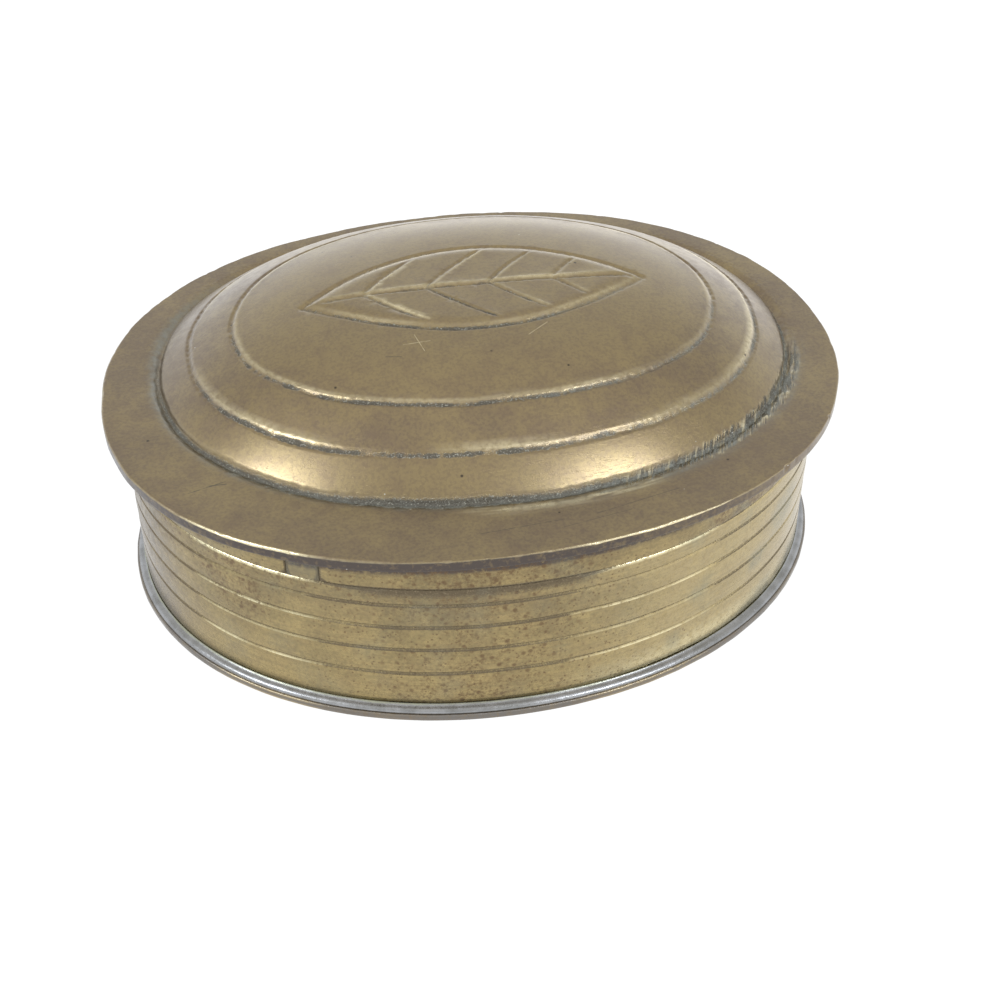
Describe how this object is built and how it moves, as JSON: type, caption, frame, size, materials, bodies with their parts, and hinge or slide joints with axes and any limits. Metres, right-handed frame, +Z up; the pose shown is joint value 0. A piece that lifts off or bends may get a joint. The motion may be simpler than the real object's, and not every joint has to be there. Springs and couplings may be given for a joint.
{
  "type": "trinket box",
  "caption": "Oval brass box with a lift-off domed lid, an overhanging rim, an engraved side wall and a soldered base.",
  "frame": {"origin": "under the middle of the base plate, on the surface that the box stands on", "axes": "+X along the long axis of the oval, +Y to the back, +Z up through the lid"},
  "size_m": [0.102, 0.082, 0.0386],
  "materials": {
    "lid_brass": "brown patina over worn brass, gold where it is rubbed",
    "wall_brass": "yellow brass with fine scratches and brown pitting",
    "base_brass": "tarnished brown brass",
    "inner_brass": "dull brass, unpolished",
    "solder": "grey soft solder, slightly sparkly"
  },
  "bodies": {
    "body": {"base_plate": "base_brass", "body_wall": "wall_brass", "wall_seam": "solder", "base_solder_bead": "solder", "inner_bezel": "inner_brass", "locating_key": "base_brass"},
    "lid": {"lid_plate": "lid_brass", "lid_collar": "wall_brass", "lid_solder": "solder"}
  },
  "joints": [
    {"name": "lid_lift", "type": "slide", "parent": "body", "child": "lid", "axis": [0, 0, 1], "range_m": [0, 0.06]}
  ]
}
